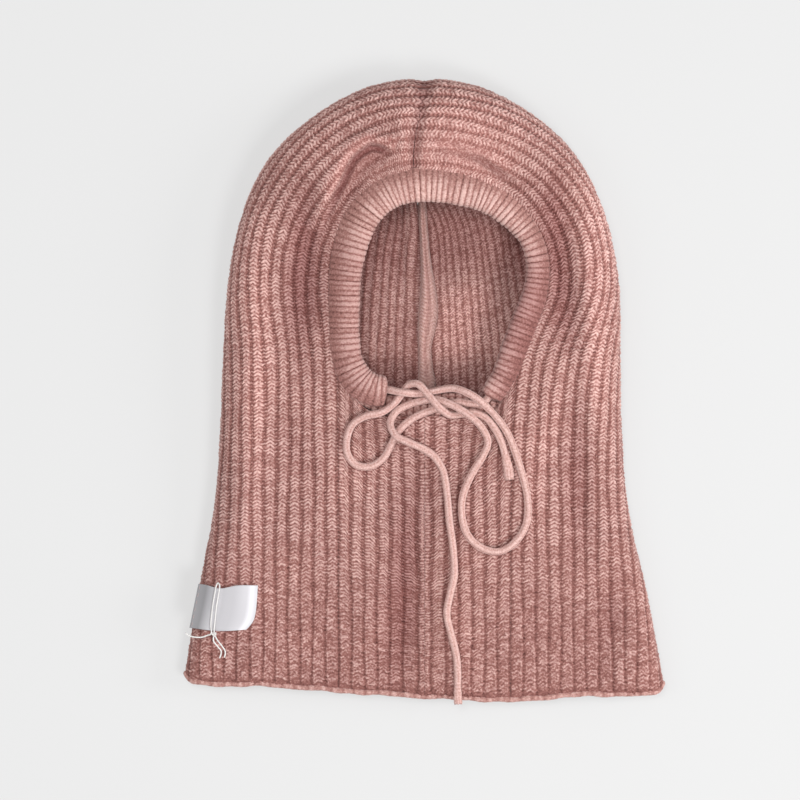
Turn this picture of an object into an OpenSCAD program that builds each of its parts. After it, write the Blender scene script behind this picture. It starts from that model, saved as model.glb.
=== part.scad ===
// Knitted balaclava hood, lying flat on its back with the face opening up.
// X runs across the hood, Y from the hem to the crown, Z up from the surface it lies on.
// The origin is the middle of its outline, on that surface.

/* [Knit] */
// Thickness of one knitted layer
knit_t = 4; // [3:0.5:4.5]
// Height of the front layer's top at the hem line
hem_rise = 15; // [14:0.5:18]
// Rise of the front layer per millimetre towards the crown
front_slope = 0.072; // [0.06:0.002:0.08]
// Width of the seam allowance that stands inside the hood
seam_w = 6; // [5:0.5:8]
// How far the seam allowance stands up from the knit
seam_h = 3.5; // [2.5:0.5:4]

/* [Face band] */
// Half of the height of the folded band
band_half_h = 4.5; // [4:0.25:5]
// Clearance between the casing and the drawstring inside it
casing_gap = 0.15; // [0.1:0.05:0.3]

/* [Drawstring] */
// Diameter of the knitted drawstring
cord_d = 4.4; // [4:0.1:4.5]

/* [Label] */
// Thickness of the folded satin label
label_t = 1; // [0.6:0.1:1.2]
// Diameter of the thread tied round the label
thread_d = 0.9; // [0.6:0.1:1]
// Number of stitches that hold the label
stitch_count = 6; // [4:1:8]

/* [Hidden] */

PINK = [0.75, 0.57, 0.54];
PINK_LIGHT = [0.80, 0.64, 0.61];
PINK_DARK = [0.62, 0.43, 0.41];
CORD_PINK = [0.82, 0.66, 0.62];
SATIN = [0.92, 0.92, 0.94];

// Outer fold of each half, hem to crown, and the line where its side panel ends inside.
// Each pair of points is one line across the ribs.
LEFT_FOLD = [
    [-146, -173], [-138, -125], [-128, -72], [-124, -25], [-122, 20], [-119, 65],
    [-111, 105], [-94, 141], [-66, 167], [-34, 184], [-1, 190]
];
LEFT_INNER = [
    [-52, -181], [-52, -125], [-52, -72], [-52, -22], [-53, 20], [-57, 58],
    [-54, 86], [-43, 107], [-28, 121], [-14, 127], [-1, 129]
];
RIGHT_FOLD = [
    [146, -179], [136, -125], [124, -72], [120, -25], [119, 20], [118, 65],
    [110, 105], [93, 141], [66, 167], [34, 184], [1, 190]
];
RIGHT_INNER = [
    [52, -187], [52, -125], [52, -72], [53, -22], [58, 20], [73, 56],
    [72, 86], [58, 109], [38, 122], [18, 128], [1, 129]
];
// Where the same lines meet the middle of the back
BACK_Y = [-179, -128, -76, -30, 8, 38, 62, 84, 102, 117, 130];
// Height of the fold's widest point, and how far in from it the front is level
FOLD_Z = [7.5, 7.8, 8.5, 9.5, 10.5, 11.5, 12, 12.5, 13, 13, 13];
FRONT_ROLL = [14, 18, 24, 30, 34, 38, 40, 42, 42, 42, 42];
BACK_ROLL = 14;
// Upper edge of the neck front, from the side panels to the middle seam
LEFT_NECK_TOP = [[-55, 20], [-43, -6], [-29, -14], [-15, -15], [-1, -15]];
RIGHT_NECK_TOP = [[57, 20], [46, -9], [30, -15], [15, -15], [1, -15]];
NECK_SEAM_Y = -184.5;
NECK_TOP_Y = -15;
// Share of the side panel's inner edge that borders the neck front
NECK_SHARE = 0.4;
NECK_ROWS = 8;
NECK_COLUMNS = 8;

// Centre line of the face band, from its left mouth over the top to its right mouth
BAND_LINE = [
    [-23, 1], [-31, 2], [-39, 7], [-45, 18], [-47, 33], [-47, 50], [-46, 72], [-41, 93],
    [-32, 109], [-18, 119], [0, 122], [20, 120], [39, 114], [54, 102], [63, 90], [67, 75],
    [65, 58], [59, 42], [53, 26], [47, 10], [39, -3]
];
// Half of the band's width along that line
BAND_HALF_W = [
    8, 8.5, 8.5, 8, 8, 8, 8.5, 9, 9, 9, 9, 9, 8.5, 7, 6, 6, 6.5, 7, 7, 6.5, 6
];
BAND_LIFT = 0.5;

// Routes of the free drawstring. The left one leaves the casing's left mouth.
LEFT_ROUTE = [
    [-23, 1, 28.8], [-18, 0, 31], [-12.5, -1, 33], [-5.5, -1.6, 30.6], [1, -1, 28.1],
    [9, 0.6, 28.2], [17, 1.6, 29.8], [25, -0.8, 33], [33, -5.8, 33.4], [42, -14.5, 31],
    [49, -24, 29.2], [53.5, -34, 28.5], [58, -48, 27.5], [61.6, -63, 26.4], [61.5, -78, 25.3],
    [56, -89, 24.5], [46.5, -96, 24], [36, -95, 24.1], [27, -88, 24.6], [22.8, -77, 25.4],
    [23, -63, 26.4], [28.5, -49.5, 27.4], [35, -39, 28.2], [38, -30.5, 29.6], [34.6, -22.3, 31.8],
    [28, -15.6, 33], [20, -10.2, 33], [13, -6.8, 32], [6.5, -5, 29.4], [-1, -5.8, 28],
    [-9, -8, 28.3], [-16.5, -12, 29.6], [-20.5, -19, 31.5], [-17.5, -26.5, 33.6],
    [-10, -30.5, 32], [-2, -34, 29.4], [4, -37.6, 28.3], [8, -42, 28]
];
LONG_END_ROUTE = [
    [8, -42, 28], [11.5, -49, 27.5], [13.6, -62, 26.5], [15, -78, 25.4], [17.2, -94, 24.2],
    [18, -110, 23.1], [15.5, -122, 22.2], [13.5, -134, 21.4], [16, -146, 20.5],
    [19, -158, 19.6], [20, -168, 18.9], [20, -178, 18.2]
];
// The right one leaves the right mouth, turns the small left loop and wraps the knot.
RIGHT_ROUTE = [
    [39, -3, 28.8], [34, -7.4, 28.4], [27, -7.4, 28], [20, -6.6, 28], [12, -8.8, 28],
    [4.5, -11.4, 28.4], [-3, -14.2, 29.5], [-10, -18.5, 29.7], [-16, -24.5, 29.1],
    [-20, -32, 28.6], [-24.5, -40, 28], [-32, -45, 27.7], [-40.5, -44.5, 27.7],
    [-46, -38, 28.2], [-46.5, -29, 28.9], [-43, -20, 29.5], [-35, -15, 29.9],
    [-26, -13, 30], [-19, -8.4, 29], [-13.8, -2, 28.2], [-9.6, 3.4, 29.4], [-4, 4.2, 32.2],
    [1, -0.8, 33.4], [5.5, -6.2, 34], [10, -11, 33], [15.5, -14.4, 30],
    [22, -14, 28.6], [29, -13, 29.2], [36.5, -15.8, 30], [42.4, -23, 29.6], [46.2, -31, 28.9],
    [48.2, -38, 28.4]
];
// The short gap at the long end's pivot, so that it can turn
PIVOT_GAP = 0.8;

// Thread tied round the label: left tail, knot, two strands over the label, right tail
THREAD_ROUTE = [
    [-144, -145.6, 19.6], [-141, -147.6, 19.8], [-135, -148.3, 20], [-130.5, -147, 20.6],
    [-128.2, -145.6, 21.6], [-128.6, -140, 20.6], [-127.5, -130, 21.1], [-126, -121, 21.8],
    [-125.2, -117.2, 22], [-124.2, -115.5, 21.2], [-123.2, -117.2, 22], [-123.6, -121, 21.8],
    [-125.2, -130, 21.1], [-126.2, -140, 20.6], [-126.6, -145.2, 20.1], [-125, -149.5, 19.3],
    [-122, -153.5, 18.8], [-120, -157, 18.4], [-120.5, -160.5, 18.1]
];
THREAD_TAIL = [
    [-127, -150.5, 19.4], [-124.4, -154, 18.8], [-122.4, -157, 18.4], [-123.4, -161, 18.1]
];

// The label's plan outline, and the line of its sewn edge
LABEL_FOOT = [-138.5, -142.5];
LABEL_HEAD = [-133, -116];
LABEL_FREE = [[-106.5, -143.5], [-102, -135], [-100, -117]];
TAB_W = 3;
LABEL_LIFT = 0.35;
TAB_GAP = 0.4;

SECTION_STEPS = 6;
FLAT_STEPS = 3;
ROWS = 20;
CORD_SIDES = 8;
THREAD_SIDES = 8;
BAND_SIDES = 12;

// Height of the top of the front layer where it is level from side to side
function front_z(y) = hem_rise + front_slope * (y + 185);

// Point at fraction u along a smooth curve through the points p
function spline(p, u) =
    let (n = len(p) - 1)
    let (i = min(floor(u * n), n - 1))
    let (t = u * n - i)
    let (a = p[max(i - 1, 0)])
    let (b = p[i])
    let (c = p[i + 1])
    let (d = p[min(i + 2, n)])
    0.5 * (2 * b + (c - a) * t + (2 * a - 5 * b + 4 * c - d) * t * t
        + (3 * b - a - 3 * c + d) * t * t * t);

function unit(v) = v / norm(v);

// Side walls of a solid that runs through closed rings of equal length
function wall_faces(m, k) = [for (i = [0 : m - 2], j = [0 : k - 1])
    let (a = i * k + j)
    let (b = i * k + (j + 1) % k)
    each [[a, a + k, b + k], [a, b + k, b]]];

// A solid through convex rings
module loft(rings) {
    m = len(rings);
    k = len(rings[0]);
    caps = [[for (j = [0 : k - 1]) j], [for (j = [k - 1 : -1 : 0]) (m - 1) * k + j]];
    polyhedron(
        points = [for (r = rings) each r],
        faces = concat(wall_faces(m, k), caps),
        convexity = 6
    );
}

// A solid through rings that each run out along one face of a layer and back along the other.
// Quads split towards the last ring's free end, or the first ring's where flip is true.
module layer_loft(rings, flip) {
    order = flip ? reversed(rings) : rings;
    m = len(order);
    k = len(order[0]);
    e = (m - 1) * k;
    walls = [for (i = [0 : m - 2], j = [0 : k - 1])
        let (a = i * k + j)
        let (b = i * k + (j + 1) % k)
        each (j < k / 2) != flip
            ? [[a, a + k, b + k], [a, b + k, b]]
            : [[a, a + k, b], [b, a + k, b + k]]];
    caps = [for (j = [0 : k / 2 - 2])
        each [
            [j, j + 1, k - 2 - j],
            [j, k - 2 - j, k - 1 - j],
            [e + j, e + k - 2 - j, e + j + 1],
            [e + j, e + k - 1 - j, e + k - 2 - j]
        ]];
    polyhedron(points = [for (r = order) each r], faces = concat(walls, caps), convexity = 6);
}

// Direction of a route at its point i
function route_dir(p, i) = unit(p[min(i + 1, len(p) - 1)] - p[max(i - 1, 0)]);

// One ring of a tube of half-width a and half-height b about point i of a route
function tube_ring(p, i, a, b, sides) =
    let (t = route_dir(p, i))
    let (side = unit(cross(t, [0, 0, 1])))
    let (up = cross(side, t))
    [for (k = [0 : sides - 1])
        p[i] + side * a * cos(-360 * k / sides) + up * b * sin(-360 * k / sides)];

function tube_rings(p, r, sides) = [for (i = [0 : len(p) - 1]) tube_ring(p, i, r, r, sides)];

module tube(p, d, sides) {
    loft(tube_rings(p, d / 2, sides));
}

// A route with its first point moved in by a short gap
function trim_start(p, gap) =
    concat([p[0] + unit(p[1] - p[0]) * gap], [for (i = [1 : len(p) - 1]) p[i]]);

function reversed(p) = [for (i = [len(p) - 1 : -1 : 0]) p[i]];

// Distances from the fold at which a section has points: the roll, then the level part
function section_steps(start, roll, width) = concat(
    [for (j = [0 : SECTION_STEPS])
        start + (roll - start) * (1 - cos(90 * j / SECTION_STEPS))],
    [for (j = [1 : FLAT_STEPS]) roll + (width - roll) * j / FLAT_STEPS]
);

function roll_share(d, start, roll) =
    d >= roll ? 1 : sqrt(max(0, 1 - pow((roll - d) / (roll - start), 2)));

// One line of the front layer, off being how far it lies inside the outer surface
function front_line(fold, inner, zc, roll, off) =
    let (width = norm(inner - fold))
    let (dir = (inner - fold) / width)
    [for (d = section_steps(off, roll, width))
        let (q = fold + dir * d)
        [q[0], q[1], zc + (front_z(q[1]) - off - zc) * roll_share(d, off, roll)]];

// One line of the back layer
function back_line(fold, inner, zc, off) =
    let (width = norm(inner - fold))
    let (dir = (inner - fold) / width)
    [for (d = section_steps(off, BACK_ROLL, width))
        let (q = fold + dir * d)
        [q[0], q[1], zc - (zc - off) * roll_share(d, off, BACK_ROLL)]];

function front_ring(folds, inners, u) =
    let (f = spline(folds, u))
    let (g = spline(inners, u))
    let (zc = spline(FOLD_Z, u))
    let (roll = spline(FRONT_ROLL, u))
    concat(front_line(f, g, zc, roll, 0), reversed(front_line(f, g, zc, roll, knit_t)));

function back_ring(folds, x, u) =
    let (f = spline(folds, u))
    let (g = [x, spline(BACK_Y, u)])
    let (zc = spline(FOLD_Z, u))
    concat(back_line(f, g, zc, 0), reversed(back_line(f, g, zc, knit_t)));

// Point of a neck front at share v of its height and share w of its way to the middle seam
function neck_point(inners, seam_x, top_edge, v, w) =
    let (side = spline(inners, NECK_SHARE * v))
    let (mid = [seam_x, NECK_SEAM_Y + (NECK_TOP_Y - NECK_SEAM_Y) * v])
    let (side_top = spline(inners, NECK_SHARE))
    let (level_y = side_top[1] * (1 - w) + NECK_TOP_Y * w)
    let (dip = (spline(top_edge, w)[1] - level_y) * pow(v, 4))
    let (q = side * (1 - w) + mid * w + [0, dip])
    [q[0], q[1], front_z(q[1])];

function neck_rings(inners, seam_x, top_edge) =
    [for (i = [0 : NECK_COLUMNS])
        let (top = [for (j = [0 : NECK_ROWS])
            neck_point(inners, seam_x, top_edge, j / NECK_ROWS, i / NECK_COLUMNS)])
        concat(top, [for (q = reversed(top)) q - [0, 0, knit_t]])];

module side_front(folds, inners, flip) {
    layer_loft([for (i = [0 : ROWS]) front_ring(folds, inners, i / ROWS)], flip);
}

module back_half(folds, x, flip) {
    layer_loft([for (i = [0 : ROWS]) back_ring(folds, x, i / ROWS)], flip);
}

module left_side_front() { color(PINK) side_front(LEFT_FOLD, LEFT_INNER, false); }
module right_side_front() { color(PINK) side_front(RIGHT_FOLD, RIGHT_INNER, true); }
module left_back() { color(PINK_DARK) back_half(LEFT_FOLD, -1, true); }
module right_back() { color(PINK_DARK) back_half(RIGHT_FOLD, 1, false); }

module left_neck_front() {
    color(PINK_LIGHT) layer_loft(neck_rings(LEFT_INNER, -1, LEFT_NECK_TOP), true);
}

module right_neck_front() {
    color(PINK_LIGHT) layer_loft(neck_rings(RIGHT_INNER, 1, RIGHT_NECK_TOP), false);
}

// Flat outline in the YZ plane, made a slab of the given width about X = 0
module side_slab(outline, width) {
    translate([-width / 2, 0, 0])
        rotate([90, 0, 90])
            linear_extrude(width)
                polygon(outline);
}

// The crown's middle line at depth off inside the outer surface, as [y, z] points
function crown_line(off) =
    let (top = front_line([0, 190], [0, 129], 13, 42, off))
    let (under = back_line([0, 190], [0, 130], 13, off))
    concat([for (q = reversed(top)) [q[1], q[2]]], [for (q = under) [q[1], q[2]]]);

module crown_seam() {
    color(PINK_DARK) {
        side_slab(concat(crown_line(1), reversed(crown_line(knit_t))), 2);
        side_slab(concat(crown_line(knit_t), reversed(crown_line(knit_t + seam_h))), seam_w);
    }
}

module back_seam() {
    foot = BACK_Y[0];
    head = 130;
    color(PINK_DARK) {
        side_slab([[foot, 1], [head, 1], [head, knit_t], [foot, knit_t]], 2);
        side_slab([[foot, knit_t], [head, knit_t], [head, knit_t + seam_h],
            [foot + 4, knit_t + seam_h]], seam_w);
    }
}

module neck_seam() {
    foot = NECK_SEAM_Y;
    head = NECK_TOP_Y;
    ridge_h = seam_h - 1;
    depths = [1, knit_t, knit_t + ridge_h];
    color(PINK_DARK) {
        for (i = [0 : 1]) {
            side_slab([
                [foot, front_z(foot) - depths[i + 1]],
                [head, front_z(head) - depths[i + 1]],
                [head, front_z(head) - depths[i]],
                [foot, front_z(foot) - depths[i]]
            ], i == 0 ? 2 : seam_w);
        }
    }
}

// The face band is a knitted strip folded into a casing, open at both mouths.
function band_route() = [for (q = BAND_LINE) [q[0], q[1], front_z(q[1]) + BAND_LIFT]];

module face_band() {
    p = band_route();
    last = len(p) - 1;
    n = BAND_SIDES;
    bore = cord_d / 2 + casing_gap;
    outer = [for (i = [0 : last]) each tube_ring(p, i, BAND_HALF_W[i], band_half_h, n)];
    inner = [for (i = [0 : last]) each tube_ring(p, i, bore, bore, n)];
    shift = len(outer);
    walls = [for (i = [0 : last - 1], j = [0 : n - 1])
        let (a = i * n + j)
        let (b = i * n + (j + 1) % n)
        each [
            [a, a + n, b + n],
            [a, b + n, b],
            [shift + a, shift + b + n, shift + a + n],
            [shift + a, shift + b, shift + b + n]
        ]];
    ends = [for (j = [0 : n - 1])
        let (k = (j + 1) % n)
        let (e = last * n)
        each [
            [j, k, shift + k],
            [j, shift + k, shift + j],
            [e + j, shift + e + k, e + k],
            [e + j, shift + e + j, shift + e + k]
        ]];
    color(PINK_LIGHT)
        polyhedron(points = concat(outer, inner), faces = concat(walls, ends), convexity = 8);
}

// The band's lower run, between the two mouths and under the bow
module band_bottom() {
    drop = 3;
    thick = 5;
    line = [[-40, -6], [-24, -8.5], [-8, -9], [8, -9], [24, -9], [38, -9.5], [46, -8]];
    half = [1.5, 5, 6.5, 7, 6.5, 4.5, 1.5];
    rings = [for (i = [0 : len(line) - 1])
        let (y0 = line[i][1] - half[i])
        let (y1 = line[i][1] + half[i])
        let (x = line[i][0])
        let (z0 = front_z(y0) - drop)
        let (z1 = front_z(y1) - drop)
        [[x, y0, z0], [x, y1, z1], [x, y1, z1 - thick], [x, y0, z0 - thick]]];
    color(PINK) loft(reversed(rings));
}

// Half section of the hem's ring, mid-wall, from the middle of the back to the middle front
function hem_half(folds, inners, sign) =
    let (f = folds[0])
    let (zc = FOLD_Z[0])
    let (mid = knit_t / 2)
    let (back = back_line(f, [sign, BACK_Y[0]], zc, mid))
    let (side = front_line(f, inners[0], zc, FRONT_ROLL[0], mid))
    let (end = [[sign, NECK_SEAM_Y, front_z(NECK_SEAM_Y) - mid]])
    concat([for (i = [len(back) - 1 : -1 : 1]) back[i]], side, end);

// The bound-off edge that runs round the whole hem
module hem_edge() {
    half_w = 1.6;
    reach = 1.2;
    loop = concat(
        hem_half(LEFT_FOLD, LEFT_INNER, -1),
        reversed(hem_half(RIGHT_FOLD, RIGHT_INNER, 1))
    );
    n = len(loop);
    k = 6;
    points = [for (i = [0 : n - 1])
        let (dir = unit(loop[(i + 1) % n] - loop[(i + n - 1) % n]))
        let (out = unit(cross(dir, [0, 1, 0])))
        each [for (j = [0 : k - 1])
            loop[i] + [0, -reach, 0] + out * half_w * cos(60 * j)
                + [0, half_w * sin(60 * j), 0]]];
    faces = [for (i = [0 : n - 1], j = [0 : k - 1])
        let (a = i * k + j)
        let (b = i * k + (j + 1) % k)
        let (c = ((i + 1) % n) * k + j)
        let (d = ((i + 1) % n) * k + (j + 1) % k)
        each [[a, d, c], [a, b, d]]];
    color(PINK_LIGHT) polyhedron(points = points, faces = faces, convexity = 6);
}

module casing_cord() { color(CORD_PINK) tube(band_route(), cord_d, CORD_SIDES); }

// A route with its last point moved back by a short gap
function trim_end(p, gap) = reversed(trim_start(reversed(p), gap));

module cord_left() {
    color(CORD_PINK) tube(trim_end(LEFT_ROUTE, PIVOT_GAP), cord_d, CORD_SIDES);
}

module cord_long_end() {
    color(CORD_PINK) tube(trim_start(LONG_END_ROUTE, PIVOT_GAP), cord_d, CORD_SIDES);
}

module cord_right() { color(CORD_PINK) tube(RIGHT_ROUTE, cord_d, CORD_SIDES); }

// A flattened, frayed end: a tube whose width grows while it stays as high as the cord
module frayed_end(p, widths) {
    rings = [for (i = [0 : len(p) - 1])
        tube_ring(p, i, widths[i], i == 0 ? cord_d / 2 : cord_d / 2 - 0.4, CORD_SIDES)];
    color(CORD_PINK) loft(rings);
}

module long_end_tip() {
    frayed_end([[20, -178, 18.2], [20.1, -183, 17.9], [20.4, -188.5, 17.6]], [2.2, 1.9, 2.6]);
}

module short_end_tip() {
    frayed_end([[48.2, -38, 28.4], [50, -45, 27.9], [51, -53, 27.3]], [2.2, 2.9, 2.6]);
}

// Middle of the label's thickness, which lies parallel to the level part of the front layer
function label_z(y) = front_z(y) + LABEL_LIFT + label_t / 2;

// A plate of the label's thickness over a plan outline
module label_plate(outline, drop) {
    top = [for (q = outline) [q[0], q[1], label_z(q[1]) + label_t / 2]];
    low = [for (q = outline) [q[0], q[1], label_z(q[1]) - label_t / 2 - drop]];
    loft([low, top]);
}

module label_flap() {
    clear = [TAB_GAP, 0];
    outline = concat([LABEL_HEAD + clear, LABEL_FOOT + clear], LABEL_FREE);
    color(SATIN) label_plate(outline, 0);
}

// The strip of the label that is caught under the stitches
module label_tab() {
    width = [TAB_W, 0];
    outline = [LABEL_HEAD, LABEL_HEAD - width, LABEL_FOOT - width, LABEL_FOOT];
    color(SATIN) label_plate(outline, 2.4);
}

module label_stitches() {
    run = LABEL_HEAD - LABEL_FOOT;
    angle = atan2(run[1], run[0]);
    size = [2.2, 0.9, 0.7];
    sink = 0.4;
    color(CORD_PINK)
        for (i = [0 : stitch_count - 1]) {
            q = LABEL_FOOT + run * (i + 0.5) / stitch_count - [TAB_W / 2 + 0.2, 0];
            translate([q[0], q[1], label_z(q[1]) + label_t / 2 - sink])
                rotate([0, 0, angle - 90])
                    translate([-size[0] / 2, -size[1] / 2, 0])
                        cube(size);
        }
}

module tag_string() {
    color(SATIN) {
        tube(THREAD_ROUTE, thread_d, THREAD_SIDES);
        tube(THREAD_TAIL, thread_d, THREAD_SIDES);
    }
}

left_side_front();
left_neck_front();
left_back();
right_side_front();
right_neck_front();
right_back();
crown_seam();
back_seam();
neck_seam();
face_band();
band_bottom();
hem_edge();
casing_cord();
cord_left();
cord_long_end();
long_end_tip();
cord_right();
short_end_tip();
label_flap();
label_tab();
label_stitches();
tag_string();
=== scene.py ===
"""A knitted balaclava hood lying on its back, with a drawstring bow and a sewn satin label."""

import bpy
import numpy as np
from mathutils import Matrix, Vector


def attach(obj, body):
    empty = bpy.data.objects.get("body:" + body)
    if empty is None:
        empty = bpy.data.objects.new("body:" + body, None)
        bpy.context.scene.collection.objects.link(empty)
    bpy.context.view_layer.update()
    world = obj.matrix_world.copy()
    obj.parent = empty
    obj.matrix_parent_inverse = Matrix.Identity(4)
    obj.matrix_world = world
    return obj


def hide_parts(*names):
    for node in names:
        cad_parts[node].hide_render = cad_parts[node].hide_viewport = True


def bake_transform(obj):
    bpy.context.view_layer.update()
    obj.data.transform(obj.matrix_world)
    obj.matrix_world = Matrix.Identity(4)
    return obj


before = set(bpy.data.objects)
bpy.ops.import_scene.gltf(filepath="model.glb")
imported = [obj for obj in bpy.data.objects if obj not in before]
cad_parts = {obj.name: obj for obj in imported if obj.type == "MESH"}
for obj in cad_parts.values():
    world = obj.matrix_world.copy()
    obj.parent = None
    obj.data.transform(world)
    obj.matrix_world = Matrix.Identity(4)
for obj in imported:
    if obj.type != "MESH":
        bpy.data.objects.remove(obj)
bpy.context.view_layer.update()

# Lengths below are in millimetres unless a name says otherwise.
MM = 0.001
scene = bpy.context.scene

# ---------- camera
camera_data = bpy.data.cameras.new("camera")
camera_data.sensor_width = 36
camera_data.lens = 148
camera = bpy.data.objects.new("camera", camera_data)
camera.location = (-0.0147, -0.0054, 2.0)
scene.collection.objects.link(camera)
scene.camera = camera
scene.view_settings.view_transform = "Standard"

# ---------- the hood's lines, as in the CAD
KNIT_T = 4.0
HEM_RISE = 15.0
FRONT_SLOPE = 0.072
CORD_D = 4.4
THREAD_D = 0.9
LABEL_T = 1.0
LEFT_FOLD = [
    (-146, -173), (-138, -125), (-128, -72), (-124, -25), (-122, 20), (-119, 65),
    (-111, 105), (-94, 141), (-66, 167), (-34, 184), (-1, 190),
]
LEFT_INNER = [
    (-52, -181), (-52, -125), (-52, -72), (-52, -22), (-53, 20), (-57, 58),
    (-54, 86), (-43, 107), (-28, 121), (-14, 127), (-1, 129),
]
RIGHT_FOLD = [
    (146, -179), (136, -125), (124, -72), (120, -25), (119, 20), (118, 65),
    (110, 105), (93, 141), (66, 167), (34, 184), (1, 190),
]
RIGHT_INNER = [
    (52, -187), (52, -125), (52, -72), (53, -22), (58, 20), (73, 56),
    (72, 86), (58, 109), (38, 122), (18, 128), (1, 129),
]
BACK_Y = [(y,) for y in (-179, -128, -76, -30, 8, 38, 62, 84, 102, 117, 130)]
FOLD_Z = [(z,) for z in (7.5, 7.8, 8.5, 9.5, 10.5, 11.5, 12, 12.5, 13, 13, 13)]
FRONT_ROLL = [(r,) for r in (14, 18, 24, 30, 34, 38, 40, 42, 42, 42, 42)]
BACK_ROLL = 14.0
LEFT_NECK_TOP = [(-55, 20), (-43, -6), (-29, -14), (-15, -15), (-1, -15)]
RIGHT_NECK_TOP = [(57, 20), (46, -9), (30, -15), (15, -15), (1, -15)]
NECK_SEAM_Y = -184.5
NECK_TOP_Y = -15.0
NECK_SHARE = 0.4

BAND_LINE = [
    (-23, 1), (-31, 2), (-39, 7), (-45, 18), (-47, 33), (-47, 50), (-46, 72), (-41, 93),
    (-32, 109), (-18, 119), (0, 122), (20, 120), (39, 114), (54, 102), (63, 90), (67, 75),
    (65, 58), (59, 42), (53, 26), (47, 10), (39, -3),
]
BAND_HALF_W = [8, 8.5, 8.5, 8, 8, 8, 8.5, 9, 9, 9, 9, 9, 8.5, 7, 6, 6, 6.5, 7, 7, 6.5, 6]
BAND_LIFT = 0.5

LEFT_ROUTE = [
    (-23, 1, 28.8), (-18, 0, 31), (-12.5, -1, 33), (-5.5, -1.6, 30.6), (1, -1, 28.1),
    (9, 0.6, 28.2), (17, 1.6, 29.8), (25, -0.8, 33), (33, -5.8, 33.4), (42, -14.5, 31),
    (49, -24, 29.2), (53.5, -34, 28.5), (58, -48, 27.5), (61.6, -63, 26.4),
    (61.5, -78, 25.3), (56, -89, 24.5), (46.5, -96, 24), (36, -95, 24.1), (27, -88, 24.6),
    (22.8, -77, 25.4), (23, -63, 26.4), (28.5, -49.5, 27.4), (35, -39, 28.2),
    (38, -30.5, 29.6), (34.6, -22.3, 31.8), (28, -15.6, 33), (20, -10.2, 33),
    (13, -6.8, 32), (6.5, -5, 29.4), (-1, -5.8, 28), (-9, -8, 28.3), (-16.5, -12, 29.6),
    (-20.5, -19, 31.5), (-17.5, -26.5, 33.6), (-10, -30.5, 32), (-2, -34, 29.4),
    (4, -37.6, 28.3), (8, -42, 28),
]
LONG_END_ROUTE = [
    (8, -42, 28), (11.5, -49, 27.5), (13.6, -62, 26.5), (15, -78, 25.4), (17.2, -94, 24.2),
    (18, -110, 23.1), (15.5, -122, 22.2), (13.5, -134, 21.4), (16, -146, 20.5),
    (19, -158, 19.6), (20, -168, 18.9), (20, -178, 18.2),
]
LONG_TIP = [(20, -178, 18.2), (20.1, -183, 17.9), (20.4, -188.5, 17.6)]
RIGHT_ROUTE = [
    (39, -3, 28.8), (34, -7.4, 28.4), (27, -7.4, 28), (20, -6.6, 28), (12, -8.8, 28),
    (4.5, -11.4, 28.4), (-3, -14.2, 29.5), (-10, -18.5, 29.7), (-16, -24.5, 29.1),
    (-20, -32, 28.6), (-24.5, -40, 28), (-32, -45, 27.7), (-40.5, -44.5, 27.7),
    (-46, -38, 28.2), (-46.5, -29, 28.9), (-43, -20, 29.5), (-35, -15, 29.9),
    (-26, -13, 30), (-19, -8.4, 29), (-13.8, -2, 28.2), (-9.6, 3.4, 29.4), (-4, 4.2, 32.2),
    (1, -0.8, 33.4), (5.5, -6.2, 34), (10, -11, 33), (15.5, -14.4, 30), (22, -14, 28.6),
    (29, -13, 29.2), (36.5, -15.8, 30), (42.4, -23, 29.6), (46.2, -31, 28.9),
    (48.2, -38, 28.4),
]
SHORT_TIP = [(48.2, -38, 28.4), (50, -45, 27.9), (51, -53, 27.3)]
THREAD_ROUTE = [
    (-144, -145.6, 19.6), (-141, -147.6, 19.8), (-135, -148.3, 20), (-130.5, -147, 20.6),
    (-128.2, -145.6, 21.6), (-128.6, -140, 20.6), (-127.5, -130, 21.1), (-126, -121, 21.8),
    (-125.2, -117.2, 22), (-124.2, -115.5, 21.2), (-123.2, -117.2, 22), (-123.6, -121, 21.8),
    (-125.2, -130, 21.1), (-126.2, -140, 20.6), (-126.6, -145.2, 20.1),
    (-125, -149.5, 19.3), (-122, -153.5, 18.8), (-120, -157, 18.4), (-120.5, -160.5, 18.1),
]
THREAD_TAIL = [
    (-126.6, -146.6, 20.2), (-127, -150.5, 19.4), (-124.4, -154, 18.8), (-122.4, -157, 18.4),
    (-123.4, -161, 18.1),
]
LABEL_FOOT = np.array([-138.5, -142.5])
LABEL_HEAD = np.array([-133.0, -116.0])
TAB_W = 3.0
LABEL_LIFT = 0.35

# ---------- the knit
RIBS = 34  # ribs round each half, from the face to the middle of the back
FRONT_RIBS = 13  # how many of them the front pieces hold
ROWS = 176  # stitch rows from the hem to the crown
NECK_RIBS = 6.5  # ribs across each neck front
RIB_DEPTH = 0.9
STITCH_DEPTH = 1.0
DEPTH = RIB_DEPTH + STITCH_DEPTH
LOFT = 0.5  # how far the fluffy yarn stands above the CAD's surface
RIB_PITCH_AT = [0, 0.45, 1]  # shares of the height at which the rib pitch is given
RIB_PITCH = [7.7, 7.1, 7.2]
FINE_ACROSS = 12  # grid steps across one rib
FINE_ALONG = 5  # grid steps along one stitch row
COARSE_STEP = 4  # fine grid steps to one step of a front's hidden face
BACK_STEP = 2  # the same for a back's outside
NECK_STEPS = 80  # grid steps across a neck front
HIDDEN_TONE = 0.35  # the yarn's relief on those hidden faces
SPLIT = 92  # the row where each front is drawn as two pieces
BACK_SPLIT = 64  # the row where each back is
HALF_WIDTH = 146  # of the hem, from the middle to a side fold
HEM_CORNER = 7.0  # radius of the hem's outer corners
CROWN_LEAN = 6.6  # how far the crown seam slants to the left
TABLE_SIZE = 2001  # samples along a half when its rows are laid out


def front_z(y):
    return HEM_RISE + FRONT_SLOPE * (y + 185)


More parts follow.
